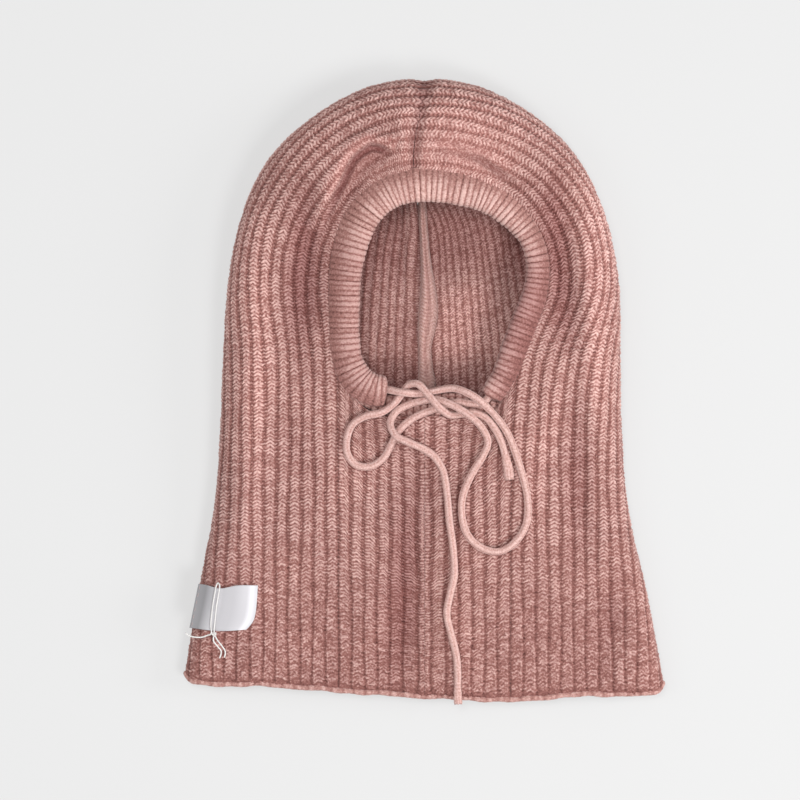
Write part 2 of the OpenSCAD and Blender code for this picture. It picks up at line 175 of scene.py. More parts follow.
def spline(points, u):
    """Points at fractions u along the Catmull-Rom curve through points."""
    p = np.asarray(points, float)
    u = np.clip(np.atleast_1d(np.asarray(u, float)), 0, 1)
    n = len(p) - 1
    i = np.minimum((u * n).astype(int), n - 1)
    t = (u * n - i)[:, None]
    a, b, c, d = p[np.maximum(i - 1, 0)], p[i], p[i + 1], p[np.minimum(i + 2, n)]
    return 0.5 * (2 * b + (c - a) * t + (2 * a - 5 * b + 4 * c - d) * t**2
                  + (3 * b - a - 3 * c + d) * t**3)


def lengths(points):
    """Length along a polyline at each of its points."""
    return np.concatenate([[0], np.cumsum(np.linalg.norm(np.diff(points, axis=0), axis=1))])


def even(points, step, closed=False):
    """The smooth curve through points, resampled at about the given step."""
    p = np.asarray(points, float)
    if closed:
        p = np.vstack([p, p[:1]])
        q = np.vstack([p[-3:-1], p, p[1:3]])
        n = len(q) - 1
        fine = spline(q, np.linspace(2 / n, 1 - 2 / n, 60 * len(p)))
    else:
        fine = spline(p, np.linspace(0, 1, 60 * len(p)))
    run = lengths(fine)
    count = max(2, int(round(run[-1] / step)) + 1)
    at = np.linspace(0, run[-1], count)
    return np.stack([np.interp(at, run, fine[:, k]) for k in range(3)], 1)


def ease(x, lo, hi):
    """0 below lo, 1 above hi and a smooth rise between them."""
    t = np.clip((x - lo) / (hi - lo), 0, 1)
    return t * t * (3 - 2 * t)


def bell(x, width):
    return np.exp(-(x / width) ** 2)


def rounded(d, radius):
    """Height (0 to 1) of a quarter round at distance d in from its edge."""
    return np.sqrt(np.clip(1 - np.clip(1 - d / radius, 0, 1) ** 2, 0, 1))


def saw(x):
    """From -1 to 1 along each unit of x."""
    return 2 * (x - np.floor(x)) - 1


def ridges(x, power=2):
    """One rounded ridge (0 to 1) to each unit of x."""
    return 1 - np.abs(saw(x)) ** power


def unit(v):
    """Vectors in the last axis, made one long."""
    return v / np.maximum(np.linalg.norm(v, axis=-1, keepdims=True), 1e-9)


def tangents(path):
    return unit(np.gradient(path, axis=0))


def angles(sides):
    return np.linspace(0, 2 * np.pi, sides, endpoint=False)[None, :]


def rings_round(path, side, up, a, b):
    """Rings of points round a path, a out along its side vectors and b along its up vectors."""
    return path[:, None, :] + side[:, None, :] * a[..., None] + up[:, None, :] * b[..., None]


def distance_to(line, x, y):
    """Distance from a plan polyline, signed (+ on its left), and the share along it."""
    line = np.asarray(line, float)
    best = np.full(np.shape(x), np.inf)
    side = np.zeros(np.shape(x))
    share = np.zeros(np.shape(x))
    for i in range(len(line) - 1):
        ax, ay = line[i]
        dx, dy = line[i + 1] - line[i]
        t = np.clip(((x - ax) * dx + (y - ay) * dy) / (dx * dx + dy * dy), 0, 1)
        ex, ey = x - ax - t * dx, y - ay - t * dy
        d = np.hypot(ex, ey)
        near = d < best
        best = np.where(near, d, best)
        side = np.where(near, np.sign(dx * ey - dy * ex), side)
        share = np.where(near, (i + t) / (len(line) - 1), share)
    return best * side, share


NOISE_RIBS, NOISE_ROWS = 128, 256
STITCH_NOISE = np.random.default_rng(11).random((NOISE_RIBS, NOISE_ROWS, 3))


def stitch_noise(t, s, k):
    """Random value k of the stitch at rib t and row s."""
    rib, row = np.floor(t).astype(int), np.floor(s).astype(int)
    return STITCH_NOISE[rib % NOISE_RIBS, row % NOISE_ROWS, k]


def knit(t, s):
    """Height (0 to 1, rib and stitch together) of the knit at rib coordinate t and row s."""
    t = t + 0.05 * np.sin(s / 5.3 + 2 * t) + 0.04 * np.sin(s / 13.1 - t)
    s = s + 0.15 * np.sin(t * 1.7 + s / 9.0) + 0.1 * np.sin(t * 4.1)
    x = saw(t)
    ax = np.abs(x)
    # a rib stands up as one round ridge, and the groove beside it holds a lower one
    raised = np.sqrt(np.clip(1 - (ax / 0.84) ** 3.0, 0, 1))
    sunk = np.sqrt(np.clip(1 - ((1 - ax) / 0.20) ** 2, 0, 1))
    body = np.maximum(raised, 0.36 * sunk)
    # each stitch is a V on the rib, and a link in the groove
    loose = stitch_noise(t, s, 0) - 0.5
    strand = ridges(s + 1.15 * ax + 0.35 * loose, 1.3)
    link = ridges(s + 0.5 + 1.3 * (1 - ax), 1.3)
    # near the hem the ribs are flatter, with a light line along each edge
    hem = 1 - ease(s, 14, 50)
    flat = np.clip(1 - (ax / 0.92) ** 10, 0, 1) * (0.62 + 0.38 * bell(x - 0.68, 0.15))
    body = body * (1 - 0.8 * hem) + flat * 0.8 * hem
    amount = 0.65 + 0.7 * stitch_noise(t, s, 1)
    stitch = np.where(raised > 0.3, strand * np.sqrt(raised), 1.05 * link) * amount
    stitch = stitch * (1 - 0.45 * hem) + 0.5 * hem * stitch_noise(2.5 * t, 2 * s, 2)
    centre = bell(ax, 0.14) * (1 - hem)
    share = STITCH_DEPTH / DEPTH
    return np.clip((1 - share) * (body - 0.2 * centre) + share * stitch, 0, 1)


def row_table(fold, inner):
    """Curve fraction u for each stitch row, so that rows are even along the strip's middle."""
    u = np.linspace(0, 1, TABLE_SIZE)
    run = 0.5 * (lengths(spline(fold, u)) + lengths(spline(inner, u)))
    return lambda s: np.interp(np.asarray(s) / ROWS, run / run[-1], u)


def strip_base(fold, inner, x_mid, s, t):
    """Outer surface of one half at rows s and ribs t: front, round the fold, and back."""
    u = row_table(fold, inner)(s)
    f, g = spline(fold, u), spline(inner, u)
    b = np.column_stack([np.full(len(u), x_mid), spline(BACK_Y, u)[:, 0]])
    zc, roll = spline(FOLD_Z, u)[:, 0], spline(FRONT_ROLL, u)[:, 0]
    turn = 1 - np.cos(np.radians(np.linspace(0, 90, 40)))
    out = np.zeros((len(u), len(t), 3))
    for i in range(len(u)):
        width = np.linalg.norm(g[i] - f[i])
        d = np.concatenate([np.linspace(width, roll[i], 12)[:-1], roll[i] * turn[::-1]])
        q = f[i] + (g[i] - f[i]) / width * d[:, None]
        level = zc[i] + (front_z(q[:, 1]) - zc[i]) * rounded(d, roll[i])
        front = np.column_stack([q, level])
        back_w = np.linalg.norm(b[i] - f[i])
        e = np.concatenate([BACK_ROLL * turn, np.linspace(BACK_ROLL, back_w, 12)[1:]])[1:]
        q = f[i] + (b[i] - f[i]) / back_w * e[:, None]
        back = np.column_stack([q, zc[i] * (1 - rounded(e, BACK_ROLL))])
        line = np.vstack([front, back])
        run = lengths(line)
        edge = run[len(front) - 1]
        pitch = np.interp(u[i], RIB_PITCH_AT, RIB_PITCH)
        at_fold = edge / pitch
        back_pitch = (run[-1] - edge) / (RIBS - at_fold)
        at = np.where(t < at_fold, t * pitch, edge + (t - at_fold) * back_pitch)
        for k in range(3):
            out[i, :, k] = np.interp(at, run, line[:, k])
    return out


def neck_base(fold, inner, top_edge, seam_x, s, t):
    """Top surface of one neck front at rows s and ribs t, counted from the side panel."""
    u = row_table(fold, inner)(s)
    v = np.clip(u / NECK_SHARE, 0, 1)
    w = t / NECK_RIBS
    side = spline(inner, u)
    mid = np.column_stack([np.full(len(v), seam_x),
                           NECK_SEAM_Y + (NECK_TOP_Y - NECK_SEAM_Y) * v])
    level = spline(inner, [NECK_SHARE])[0, 1] * (1 - w) + NECK_TOP_Y * w
    dip = spline(top_edge, w)[:, 1] - level
    x = side[:, :1] * (1 - w) + mid[:, :1] * w
    y = side[:, 1:] * (1 - w) + mid[:, 1:] * w + dip * v[:, None] ** 4
    return np.stack([x, y, front_z(y)], 2)


# ---------- how the cloth lies, and the painted light and shade on it
CREASES = [
    # plan line, how deep its fold is, how high the cloth stands on its left and right
    ([(-62, 92), (-57, 106), (-51.5, 118), (-46.4, 128.7), (-42, 137.7), (-37.2, 142),
      (-31.9, 145.2), (-25.8, 144), (-20.4, 140.7)], 3.4, 3.4, -2.0),
    ([(4.8, 145.5), (13.8, 146), (21, 142.5), (32.4, 138.3), (40.8, 133), (54, 124)],
     2.2, 1.0, 1.6),
]
# long soft folds of the front: height, place across, width, from and to which height, lean
SWELLS = [
    (-4.8, -74, 11, 30, 110, 0.06),
    (2.0, -104, 10, -90, 110, 0.03),
    (-4.6, 82, 11, 30, 120, -0.1),
    (2.4, 101, 9, -20, 100, -0.04),
    (-2.6, 92, 9, -90, -10, 0.0),
    (1.6, 74, 9, -60, 20, 0.25),
    (-1.2, -78, 9, -60, -10, -0.5),
    (-3.2, -12, 11, -170, -60, 0.05),
    (-2.0, 112, 10, -170, -110, 0.2),
    (-1.6, -118, 10, -170, -130, 0.0),
]
SWELL_FADE = 35.0
# painted light (+) and painted shade (-) on the front: amount, centre, stretch across and up, size
FRONT_PAINTED_SHADE = [
    (2.6, 16, 148, 1.5, 1.2, 18),
    (-2.0, -30, 148, 1.2, 1.2, 17),
    (-1.3, 66, 118, 1.0, 2.0, 19),
    (2.4, 107, 92, 0.8, 3.2, 17),
    (1.0, -98, 10, 0.7, 5.5, 18),
    (-1.2, -64, 75, 0.8, 3.0, 16),
    (-1.4, -12, -130, 0.9, 4.0, 14),
    (-1.0, 92, -55, 0.8, 3.0, 15),
]


def between(y, low, high, fade_in, fade_out):
    """1 between two heights, falling to 0 past them within the fades."""
    return ease(y, low, low + fade_in) * (1 - ease(y, high, high + fade_out))


def spot(x, y, at_x, at_y, wide, tall, size):
    return bell(np.hypot((x - at_x) / wide, (y - at_y) / tall), size)


def swell(x, y, at_x, width, low, high, tilt):
    """A long soft fold along Y at at_x, leaning by tilt, between two heights."""
    across = bell(x - at_x - tilt * (y - (low + high) / 2), width)
    fade = 2 * SWELL_FADE
    return across * between(y, low - SWELL_FADE, high - SWELL_FADE, fade, fade)


def creases(x, y):
    """Each crease's signed distance and fade at its two ends, with its depth and its sides."""
    for line, depth, left, right in CREASES:
        d, share = distance_to(line, x, y)
        ends = np.clip(np.minimum(share * 3, (1 - share) * 7), 0, 1)
        yield d, ends, depth, left, right


def drape(p):
    """Soft hollows and swells of the front cloth, as a height added to the base."""
    x, y = p[..., 0], p[..., 1]
    z = np.zeros(x.shape)
    for d, ends, depth, left, right in creases(x, y):
        z += ends**0.7 * (-depth * bell(d, 2.0) + left * bell(d - 6.5, 5)
                          + right * bell(d + 6.5, 5))
    # hollow left of the crown seam, and the swell along the seam
    z -= 2.6 * spot(x, y, -27, 154, 1.2, 0.7, 12)
    z += 1.6 * bell(x + 12, 6) * between(y, 130, 160, 12, 20)
    z += 2.0 * bell(x - 14, 14) * between(y, 130, 158, 12, 20)
    # the cloth sinks beside the face band and stands up outside it
    for height, *place in SWELLS:
        z += height * swell(x, y, *place)
    z += 0.5 * np.sin(x / 19 + 1) * np.sin(y / 37)
    return z


def painted_front_shade(p):
    """Painted light and shade by place on the front's yarn colour, in the same units as a swell."""
    x, y = p[..., 0], p[..., 1]
    # painted light towards the crown
    tone = 1.6 * ease(y, 110, 160)
    for amount, *place in FRONT_PAINTED_SHADE:
        tone += amount * spot(x, y, *place)
    # painted shade along each crease, and painted light on its raised side
    for d, ends, depth, left, _ in creases(x, y):
        tone += ends * (-0.9 * depth * bell(d, 1.6) + 0.4 * left * bell(d - 6.5, 5))
    return tone


def softness(p):
    """Where the cloth is pulled smooth above the face, its ribs and stitches are shallower."""
    x, y = p[..., 0], p[..., 1]
    soft = 0.55 * spot(x, y, 14, 143, 1.9, 0.8, 22) + 0.45 * spot(x, y, -34, 132, 1, 1, 17)
    for d, ends, *_ in creases(x, y):
        soft += 0.75 * bell(d, 4.0) * ends
    return np.clip(soft, 0, 0.85)


def inner_fold(p):
    """Inside, the left half stands up in a flat pleat beside the back seam."""
    x, y = p[..., 0], p[..., 1]
    pleat = 2.4 * bell(x + 8.5, 4.2) * between(y, 40, 128, 45, 22)
    return pleat + 1.6 * bell(x - 12 - 0.15 * (y - 40), 5) * bell(y - 38, 26)


def painted_inside_shade(p):
    """Painted light and shade on the inside of the hood, in the same units as a swell: a lit patch
    right of the middle, painted shade towards the top, the bottom edge and both sides.
    """
    x, y = p[..., 0], p[..., 1]
    tone = 5.0 * spot(x, y, 32, 40, 1.1, 1.3, 21) - 0.6
    tone -= 2.2 * ease(y, 55, 82) + 2.5 * (1 - ease(y, 6, 26))
    tone -= 1.6 * (1 - ease(x, -44, -24)) + 1.6 * ease(x, 44, 62)
    return tone


def round_corner(p):
    """The hem's two outer corners are rounded, and the hem sags a little towards them."""
    x, y = np.abs(p[..., 0]), p[..., 1]
    past = np.clip(x - (HALF_WIDTH - HEM_CORNER), 0, 0.95 * HEM_CORNER)
    rise = HEM_CORNER - np.sqrt(HEM_CORNER**2 - past**2) - 3.0 * ease(x, 90, 138)
    p[..., 1] = y + rise * (1 - ease(y, -178, -158))
    return p


def meet(x):
    """Cloth edges one millimetre from the middle are drawn together until they nearly touch."""
    reach = np.abs(x)
    gap = 0.15
    return np.sign(x) * np.maximum(reach - (1 - gap) * (1 - ease(reach, 1, 10)), gap)


def crown_lean(y):
    return CROWN_LEAN * ease(-y, -190, -138)


def lean_crown(p):
    """The two halves meet in the middle, and the crown seam slants a little to the left."""
    p = round_corner(p)
    x, y = meet(p[..., 0]), p[..., 1]
    p[..., 0] = x - bell(x, 26) * crown_lean(y) * ease(y, 95, 128)
    return p


# ---------- mesh making
def mesh_object(name, points, quads, tris, relief, painted_shade_mm):
    """A smooth mesh whose points carry the knit's relief, which the materials also turn into
    painted shade, and a painted light and shade tone.
    """
    mesh = bpy.data.meshes.new(name)
    mesh.vertices.add(len(points))
    mesh.vertices.foreach_set("co", (np.asarray(points) * MM).astype(np.float32).ravel())
    quads = np.asarray(quads, np.int32).reshape(-1, 4)
    tris = np.asarray(tris, np.int32).reshape(-1, 3)
    corners = np.concatenate([quads.ravel(), tris.ravel()])
    sizes = np.concatenate([np.full(len(quads), 4), np.full(len(tris), 3)])
    starts = np.concatenate([[0], np.cumsum(sizes)[:-1]])
    mesh.loops.add(len(corners))
    mesh.loops.foreach_set("vertex_index", corners.astype(np.int32))
    mesh.polygons.add(len(sizes))
    mesh.polygons.foreach_set("loop_start", starts.astype(np.int32))
    mesh.polygons.foreach_set("use_smooth", np.full(len(sizes), True))
    mesh.update(calc_edges=True)
    # the attribute named swell holds the painted light and shade tone
    for key, values in (("relief", relief), ("swell", painted_shade_mm)):
        attribute = mesh.attributes.new(key, "FLOAT", "POINT")
        attribute.data.foreach_set("value", np.asarray(values, np.float32).ravel())
    obj = bpy.data.objects.new(name, mesh)
    scene.collection.objects.link(obj)
    return obj


def grid_normals(p):
    return unit(np.cross(np.gradient(p, axis=1), np.gradient(p, axis=0)))


def grid_quads(rows, columns, shift=0, flip=False):
    a = (np.arange(rows - 1)[:, None] * columns + np.arange(columns - 1)[None, :]) + shift
    q = np.stack([a, a + 1, a + columns + 1, a + columns], 2).reshape(-1, 4)
    return q[:, ::-1] if flip else q


def border(rows, columns):
    """Indices round a grid's border, one way round."""
    g = np.arange(rows * columns).reshape(rows, columns)
    return np.concatenate([g[0, :-1], g[:-1, -1], g[-1, :0:-1], g[:0:-1, 0]])


def cloth_piece(name, fine, fine_relief, coarse, coarse_relief, step, flip, painted_shade_mm=0.0):
    """A closed piece of cloth: a fine face, a coarser face, and the rim between them."""
    rows, columns = fine.shape[:2]
    r2, c2 = coarse.shape[:2]
    shift = rows * columns
    outer, inner = border(rows, columns), border(r2, c2) + shift
    quads = np.vstack([grid_quads(rows, columns, 0, flip),
                       grid_quads(r2, c2, shift, not flip)])
    tris = []
    n, m = len(outer), len(inner)
    for i in range(m):
        a, b = inner[i], inner[(i + 1) % m]
        for k in range(step):
            tris.append((a, outer[(i * step + k) % n], outer[(i * step + k + 1) % n]))
        tris.append((a, outer[((i + 1) * step) % n], b))
    tris = np.array(tris)
    if not flip:
        tris = tris[:, ::-1]
    points = np.vstack([fine.reshape(-1, 3), coarse.reshape(-1, 3)])
    relief = np.concatenate([fine_relief.ravel(), coarse_relief.ravel()])
    fine_painted_shade = np.broadcast_to(painted_shade_mm, (rows, columns)).ravel()
    painted_shade_mm = np.concatenate([fine_painted_shade, np.zeros(r2 * c2)])
    return mesh_object(name, points, quads, tris, relief, painted_shade_mm)


def tube_frames(path):
    """Tangent, side and up vectors along a path, without twist."""
    t = tangents(path)
    up = np.zeros_like(t)
    seed = np.array([0.0, 0.0, 1.0])
    for i in range(len(path)):
        seed = seed - t[i] * seed.dot(t[i])
        seed /= np.linalg.norm(seed)
        up[i] = seed
    return t, np.cross(t, up), up


def upright_frames(path):
    """Side vectors along X, and the up vectors square to them and the path."""
    side = np.tile([1.0, 0.0, 0.0], (len(path), 1))
    return side, np.cross(side, tangents(path))


def ring_mesh(name, rings, relief, closed=False, painted_shade_mm=0.0):
    """A solid through closed rings (stations, sides, 3), capped at both ends unless closed."""
    m, k = rings.shape[:2]
    painted_shade_mm = np.broadcast_to(painted_shade_mm, (m, k)).ravel()
    i = np.arange(m if closed else m - 1)[:, None]
    j = np.arange(k)[None, :]
    a, b = i * k + j, i * k + (j + 1) % k
    c, d = ((i + 1) % m) * k + (j + 1) % k, ((i + 1) % m) * k + j
    quads = np.stack([a, b, c, d], 2).reshape(-1, 4)
    points, tone = rings.reshape(-1, 3), relief.reshape(-1)
    tris = np.zeros((0, 3), int)
    if not closed:
        ends = np.stack([rings[0].mean(0), rings[-1].mean(0)])
        points = np.vstack([points, ends])
        tone = np.concatenate([tone, [relief[0].mean(), relief[-1].mean()]])
        painted_shade_mm = np.concatenate([painted_shade_mm, painted_shade_mm[:1], painted_shade_mm[-1:]])
        e, j = (m - 1) * k, np.arange(k)
        tris = np.vstack([
            np.column_stack([np.full(k, m * k), (j + 1) % k, j]),
            np.column_stack([np.full(k, m * k + 1), e + j, e + (j + 1) % k]),
        ])
    return mesh_object(name, points, quads, tris, tone, painted_shade_mm)


# ---------- materials
def feed(tree, node, inputs):
    """Set a node's inputs: a value each, or the output that feeds it."""
    for key, value in inputs.items():
        if isinstance(value, bpy.types.NodeSocket):
            tree.links.new(value, node.inputs[key])
        else:
            node.inputs[key].default_value = value


def add_node(tree, kind, inputs):
    node = tree.nodes.new("ShaderNode" + kind)
    feed(tree, node, inputs)
    return node


def shader(name):
    """A new material, its node tree and its main shader."""
    material = bpy.data.materials.new(name)
    material.use_nodes = True
    tree = material.node_tree
    return material, tree, tree.nodes["Principled BSDF"]


def place_on_object(tree):
    return tree.nodes.new("ShaderNodeTexCoord").outputs["Object"]


def mesh_value(tree, name):
    node = tree.nodes.new("ShaderNodeAttribute")
    node.attribute_name = name
    return node.outputs["Fac"]


def noise(tree, place, scale, detail, roughness=0.5):
    node = add_node(tree, "TexNoise", {
        "Vector": place, "Scale": scale, "Detail": detail, "Roughness": roughness})
    return node.outputs["Fac"]


def map_range(tree, value, low, high, to_low, to_high):
    node = add_node(tree, "MapRange", {
        "Value": value, "From Min": low, "From Max": high, "To Min": to_low, "To Max": to_high})
    return node.outputs["Result"]


def ramp(tree, value, stops):
    node = add_node(tree, "ValToRGB", {"Fac": value})
    elements = node.color_ramp.elements
    while len(elements) < len(stops):
        elements.new(0.5)
    for element, (at, colour) in zip(elements, stops):
        element.position = at
        element.color = (*colour, 1)
    return node.outputs["Color"]


def multiply(tree, first, second):
    """Two colours multiplied."""
    node = tree.nodes.new("ShaderNodeMix")
    node.data_type = "RGBA"
    node.blend_type = "MULTIPLY"
    feed(tree, node, {"Factor": 1, "A": first, "B": second})
    return node.outputs["Result"]


def bump(tree, height, strength, distance):
    node = add_node(tree, "Bump", {
        "Height": height, "Strength": strength, "Distance": distance})
    return node.outputs["Normal"]


WHITE = (1.0, 1.0, 1.0)
# the yarn's colour under painted shade, level, and under painted light: darkest, level and lightest
PAINTED_SHADE_STOPS = [(0.0, (0.50, 0.40, 0.41)), (0.625, (0.765, 0.765, 0.765)), (1.0, WHITE)]
# painted sheen on the label: its grey, from its sewn edge to its free edge
SATIN_PAINTED_SHEEN = [
    (0.0, 0.25), (0.14, 0.20), (0.25, 0.40), (0.35, 0.57), (0.44, 0.47), (0.62, 0.49),
    (0.83, 0.58), (0.91, 0.82), (1.0, 0.60),
]


def yarn_material(name, deep, middle, light, fuzz=0.35, noise_scale=850.0, grain_amount=0.26):
    """Fluffy yarn: colour darkens with the stitch relief as painted shade in the grooves, with
    uneven dye, painted light and shade by place, and a soft sheen.
    """
    material, tree, bsdf = shader(name)
    place = place_on_object(tree)
    grain = noise(tree, place, noise_scale, 3, 0.65)
    spread = map_range(tree, grain, 0.3, 0.7, -grain_amount, grain_amount)
    height = add_node(tree, "Math", {0: mesh_value(tree, "relief"), 1: spread})
    height.operation = "ADD"
    # the relief ramp paints shade into the grooves and light onto the stitch tops
    colour = ramp(tree, height.outputs["Value"], [(0.0, deep), (0.55, middle), (1.0, light)])
    dye = noise(tree, place, 28, 4)
    tint = ramp(tree, dye, [(0.3, (0.90, 0.90, 0.91)), (0.7, WHITE)])
    # painted light and shade by place, read from the attribute named swell
    painted_shade = ramp(tree, map_range(tree, mesh_value(tree, "swell"), -5, 3, 0, 1), PAINTED_SHADE_STOPS)
    feed(tree, bsdf, {
        "Base Color": multiply(tree, multiply(tree, colour, tint), painted_shade),
        "Normal": bump(tree, noise(tree, place, 2600, 2), 0.5, 0.0003),
        "Roughness": 0.92,
        "Specular IOR Level": 0.15,
        "Sheen Weight": fuzz,
        "Sheen Roughness": 0.45,
        "Sheen Tint": (1.0, 0.86, 0.82, 1),
    })
    return material, name


def satin_material():
    """Satin: a fine weave, and broad bands of painted sheen across the label."""
    material, tree, bsdf = shader("satin")
    wave = add_node(tree, "TexWave", {
        "Vector": place_on_object(tree), "Scale": 900, "Distortion": 1.2})
    wave.wave_type = "BANDS"
    wave.bands_direction = "Y"
    weave = wave.outputs["Fac"]
    colour = ramp(tree, weave, [(0.0, (0.88, 0.88, 0.90)), (1.0, WHITE)])
    bands = [(at, (0.99 * grey, 0.965 * grey, grey)) for at, grey in SATIN_PAINTED_SHEEN]
    feed(tree, bsdf, {
        "Base Color": multiply(tree, ramp(tree, mesh_value(tree, "relief"), bands), colour),
        "Normal": bump(tree, weave, 0.15, 0.0001),
        "Roughness": 0.38,
        "Anisotropic": 0.5,
        "Sheen Weight": 0.2,
    })
    return material, "satin"


RIB = yarn_material("rib_knit", (0.10, 0.031, 0.027), (0.365, 0.156, 0.134), (0.87, 0.56, 0.507))
BAND = yarn_material("band_knit", (0.11, 0.034, 0.028), (0.50, 0.245, 0.212), (0.86, 0.56, 0.505))
CORD = yarn_material("drawstring", (0.40, 0.185, 0.158), (0.72, 0.425, 0.378), (0.94, 0.655, 0.60),
                     grain_amount=0.34)
SEAM = yarn_material("seam_knit", (0.20, 0.078, 0.066), (0.62, 0.34, 0.30), (0.88, 0.60, 0.545))
THREAD = yarn_material("thread", (0.62, 0.57, 0.53), (0.92, 0.89, 0.86), (1.0, 0.99, 0.97),
                       fuzz=0.1, noise_scale=1800.0)
SATIN = satin_material()


def dress(obj, look, body, *nodes):
    """Give a piece its material and slot, attach it to its body, and hide the CAD nodes it stands
    for.
    """
    material, slot = look
    obj.data.materials.append(material)
    if body:
        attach(obj, body)
    if nodes:
        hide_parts(*nodes)
    return obj


# ---------- the cords come first
def cord_mesh(name, path, d, sides=20, wales=5, stitch=1.5, depth=0.10):
    """A knitted cord: a tube with fine columns of stitches, d across at its surface."""
    _, side, up = tube_frames(path)
    run = lengths(path)
    angle = angles(sides)
    at = run[:, None] / stitch + 0.4 * np.sin(run[:, None] / 9)
    across = np.abs(saw(angle / (2 * np.pi) * wales))
    height = 0.55 * (1 - across**3) + 0.45 * ridges(at + 0.5 * across)
    radius = d / 2 - depth + depth * 1.6 * height
    radius = radius * (1 + 0.025 * np.sin(run / 7.0) + 0.02 * np.sin(run / 3.1 + 1))[:, None]
    rings = rings_round(path, side, up, radius * np.cos(angle), radius * np.sin(angle))
    # the stitch relief also darkens the yarn colour between the stitches: painted shade
    return ring_mesh(name, rings[:, ::-1], height[:, ::-1] * 0.6 + 0.25)


def frayed_tip(name, points, width):
    """A cord's cut end: it flattens, spreads and ends in loose tufts."""
    path = even(points, 0.35)
    t, side, up = tube_frames(path)
    share = np.linspace(0, 1, len(path))
    angle = angles(28)
    wide = np.interp(share, [0, 0.3, 0.8, 1], [CORD_D / 2, width * 0.92, width, width * 0.86])
    high = np.interp(share, [0, 0.4, 1], [CORD_D / 2, 1.6, 1.0])
    tuft = 0.12 * np.sin(9 * angle) * ease(share, 0.2, 1)[:, None]
    wobble = 0.06 * np.sin(path[:, 1] * 2.1)[:, None]
    rings = rings_round(path, side, up, wide[:, None] * np.cos(angle) * (1 + tuft + wobble),
                        high[:, None] * np.sin(angle) * (1 + tuft))
    rings[-1] += 0.5 * t[-1] * np.sin(5 * angle[0])[:, None]
    # lighter on the tufts' crests and darker between them through the relief colour: painted shade
    tone = 0.62 + 0.25 * np.sin(9 * angle) * share[:, None]
    return ring_mesh(name, rings[:, ::-1], tone[:, ::-1])


WRAP = 29  # the left end's point under the knot, where it is drawn as two pieces
left_a = even(LEFT_ROUTE[:WRAP + 1], 0.5)
left_b = even(LEFT_ROUTE[WRAP:] + LONG_END_ROUTE[1:], 0.5)
right = even(RIGHT_ROUTE, 0.5)
loop_cord = dress(cord_mesh("drawstring_left_loop", left_a, CORD_D), CORD, "hood", "cord_left")
long_cord = dress(cord_mesh("drawstring_long_end", left_b, CORD_D), CORD, None, "cord_long_end")
right_cord = dress(cord_mesh("drawstring_right_loop", right, CORD_D), CORD, "hood", "cord_right")
long_tip = dress(frayed_tip("drawstring_long_tip", LONG_TIP, 2.5), CORD, "long_end", "long_end_tip")
short_tip = dress(frayed_tip("drawstring_short_tip", SHORT_TIP, 2.9), CORD, "hood", "short_end_tip")
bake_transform(long_cord)

casing_path = even([(x, y, front_z(y) + BAND_LIFT) for x, y in BAND_LINE], 1.0)
casing = cord_mesh("drawstring_in_casing", casing_path, CORD_D - 0.2, sides=12)
dress(casing, CORD, "hood", "casing_cord")


def thread_piece(name, path, across):
    mesh = cord_mesh(name, path, across, sides=10, wales=2, stitch=0.9, depth=0.04)
    return dress(mesh, THREAD, "label", "tag_string")


thread_path = even(THREAD_ROUTE, 0.3)
thread = thread_piece("tag_thread", thread_path, THREAD_D)
thread_tail = thread_piece("tag_thread_tail", even(THREAD_TAIL, 0.3), THREAD_D)
turn = np.linspace(0, 2 * np.pi, 61)
knot_path = np.column_stack([
    -126.6 + 0.42 * (np.sin(turn) + 2 * np.sin(2 * turn)),
    -146.4 + 0.42 * (np.cos(turn) - 2 * np.cos(2 * turn)), 20.5 - 0.5 * np.sin(3 * turn)])
thread_knot = thread_piece("tag_thread_knot", knot_path, THREAD_D * 0.9)

# ---------- the knitted panels
def seam_dip(s):
    """The cloth turns in where a strip ends at the crown seam."""
    return 2.4 * bell(s - ROWS, 1.6)


def top_weight(normals):
    return np.clip(normals[..., 2], 0, 1)


def hem_flat(h, s):
    """The knit is flatter in its first rows, where the hem is bound off."""
    return h * (1 - 0.5 * bell(s[:, None], 1.5))


def knit_outside(name, base, n, h, loft, tone, flip, nodes):
    """A front's cloth: the knit raised on its outer face, and a coarser face inside."""
    fine = base + n * ((h - 1) * DEPTH + loft)[..., None]
    coarse = (base - n * KNIT_T)[::COARSE_STEP, ::COARSE_STEP]
    piece = cloth_piece(name, fine, h, coarse, np.full(coarse.shape[:2], HIDDEN_TONE),
                        COARSE_STEP, flip=flip, painted_shade_mm=tone)
    return dress(piece, RIB, "hood", *nodes)


def front_piece(name, fold, inner, x_mid, s0, s1, nodes):
    """Rows s0 to s1 of one front."""
    sign = -x_mid
    s = np.linspace(s0, s1, (s1 - s0) * FINE_ALONG + 1)
    t = np.linspace(0, FRONT_RIBS, FRONT_RIBS * FINE_ACROSS + 1)
    base = lean_crown(strip_base(fold, inner, x_mid, s, t))
    n = grid_normals(base) * -sign
    swelling = drape(base) * top_weight(n)
    soft = softness(base)
    base = base + n * (swelling - seam_dip(s)[:, None])[..., None]
    n = grid_normals(base) * -sign
    level = 0.62
    h = level + (knit(t[None, :], s[:, None]) - level) * (1 - soft)
    h = hem_flat(h, s)
    # painted shade: the drape's hollows and the crown seam's groove darker, its swells lighter,
    # plus the painted light and shade by place
    tone = swelling + painted_front_shade(base) - 2.2 * seam_dip(s)[:, None]
    return knit_outside(name, base, n, h, LOFT * top_weight(n), tone, sign > 0, nodes)


